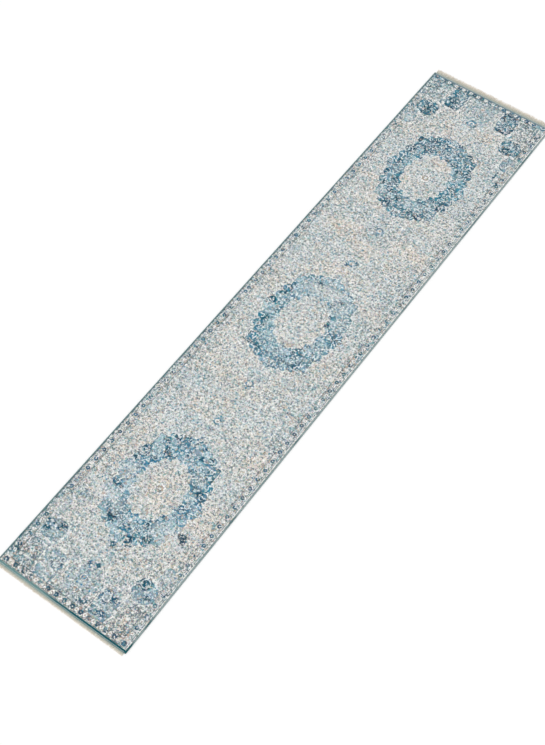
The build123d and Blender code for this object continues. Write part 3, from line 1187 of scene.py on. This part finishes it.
def make_fringe(end, name, material):
    """Free warp ends in loose bundles, lying on the floor."""
    low, high = box_mm(name + "_fringe")
    root = float(low[1] if end > 0 else high[1])
    length = float(high[1] - low[1])
    rng = np.random.default_rng(71 + end)
    bundles = np.arange(low[0] + BUNDLE_PITCH / 2, high[0], BUNDLE_PITCH)
    count = len(bundles) * STRANDS_IN_BUNDLE
    bundle_x = np.repeat(bundles, STRANDS_IN_BUNDLE)
    share = np.tile(np.linspace(-0.5, 0.5, STRANDS_IN_BUNDLE), len(bundles))
    lean = np.repeat(rng.normal(0, 0.8, len(bundles)), STRANDS_IN_BUNDLE)
    t = np.linspace(0, 1, 9)[None, :]
    own = rng.normal(0, 1.1, (count, 1))
    wave = rng.uniform(0.2, 0.9, (count, 1)) * np.sin(t * rng.uniform(3, 7, (count, 1)) + own * 3)
    spread = share[:, None] * (4.6 + 3.2 * t)
    x = bundle_x[:, None] + spread + (lean[:, None] + own) * t**1.5 + wave * t
    reach = length * rng.uniform(0.66, 1.02, (count, 1))
    y = root + end * (reach * t - 1.5)
    layer = rng.uniform(0.0, 1.0, (count, 1))
    z = STRAND_RADIUS + 0.05 + (1.5 - 0.6 * t) * layer + 0.5 * abs(wave) * t
    radius = STRAND_RADIUS * (1.0 - 0.25 * t**3) * rng.uniform(0.8, 1.15, (count, 1))
    vertices, faces = tubes(np.stack([x, y, z], -1), radius, 5)
    soiled = unit(1 - abs(vertices[:, 1] - root) / length) ** 1.6
    return new_piece(name + "_fringe_strands", vertices, faces, material, {"tone": soiled})


# ---------------------------------------------------------------- stage


def make_camera():
    """At the viewing angle of the original picture: high over the near end's right side."""
    place = Vector((2.2224, -3.2380, 5.8662))
    aim = Vector((0.0541, -0.3446, 0.0))
    roll = math.radians(-1.05)
    camera = bpy.data.cameras.new("camera")
    camera.sensor_width = 36
    camera.lens = 63.7
    made = bpy.data.objects.new("camera", camera)
    turn = (aim - place).to_track_quat("-Z", "Y").to_matrix() @ Matrix.Rotation(roll, 3, "Z")
    made.matrix_world = Matrix.Translation(place) @ turn.to_4x4()
    bpy.context.scene.collection.objects.link(made)
    bpy.context.scene.camera = made


def make_floor():
    s = Shader("floor_paint", roughness=0.7, sheen=0.0)
    s.colour(rgb(249, 249, 249))
    size = 30.0 / MM
    corners = np.array([(-size, -size, 0), (size, -size, 0), (size, size, 0), (-size, size, 0)]) / 2
    corners[:, 2] = -0.3  # just under the rug
    floor = new_piece("floor", corners, np.array([[0, 1, 2, 3]]), s.material, smooth=False)


def make_lights():
    world = bpy.data.worlds.new("studio")
    world.use_nodes = True
    world.node_tree.nodes["Background"].inputs["Color"].default_value = (1.0, 1.0, 1.0, 1.0)
    world.node_tree.nodes["Background"].inputs["Strength"].default_value = 0.75
    bpy.context.scene.world = world
    sun = bpy.data.lights.new("key", "SUN")
    sun.energy = 1.3
    sun.angle = math.radians(40)
    key = bpy.data.objects.new("key", sun)
    key.rotation_euler = (math.radians(38), 0, math.radians(-30))
    bpy.context.scene.collection.objects.link(key)
    bpy.context.scene.view_settings.view_transform = "Standard"


# ---------------------------------------------------------------- the rug


def main():
    make_camera()
    make_lights()
    make_floor()
    pile = make_pile(draw_pattern(), make_pile_material())
    cream = (212, 205, 190)
    ground_yarn = make_yarn_material("ground_yarn", (204, 194, 172), (170, 158, 134), 2.0, (1, 3, 1))
    cord_yarn = make_yarn_material("cord_yarn", cream, (176, 168, 152), 1.2)
    # edging yarn colours painted lighter, as painted light against the shade on the right side's outer
    # face
    edging = make_yarn_material(
        "edging_yarn", (156, 172, 172), (112, 136, 138), 0.9, (1, 4, 1), tone=(12, 86, 92)
    )
    near_weft = make_yarn_material(
        "near_band_yarn", (120, 155, 155), (82, 128, 131), 0.9, (1, 4, 1), tone=(0, 86, 97)
    )
    far_weft = make_yarn_material(
        "far_band_yarn", (134, 152, 160), (98, 120, 130), 0.9, (1, 4, 1), tone=(92, 120, 134)
    )
    thread = make_yarn_material("stitch_yarn", (206, 220, 218), (168, 188, 188), 0.6)
    warp_ends = make_yarn_material(
        "fringe_yarn", (248, 237, 219), (230, 217, 198), 0.8, (1, 0.3, 1), tone=(176, 186, 178)
    )

    ground = make_ground(ground_yarn)
    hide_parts("ground_weave")
    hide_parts("pile_face")
    pieces = [ground] + pile
    for side, name in ((-1, "left"), (1, "right")):
        wrap = make_overlock(side, name, edging)
        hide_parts(name + "_overlock_yarn")
        cord = make_cord(name, cord_yarn)
        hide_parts(name + "_selvedge_cord")
        pieces += [wrap, cord]
    for end, name, weft in ((-1, "near", near_weft), (1, "far", far_weft)):
        band = make_band(end, name, weft)
        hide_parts(name + "_end_band")
        chain = make_stitches(end, name, thread)
        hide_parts(name + "_lock_stitch")
        fringe = make_fringe(end, name, warp_ends)
        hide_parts(name + "_fringe")
        pieces += [band, chain, fringe]
    for piece in pieces:
        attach(piece, "root")
    size = tuple(float(v) * MM for v in (WEAVE_HIGH - WEAVE_LOW)[:2])


main()
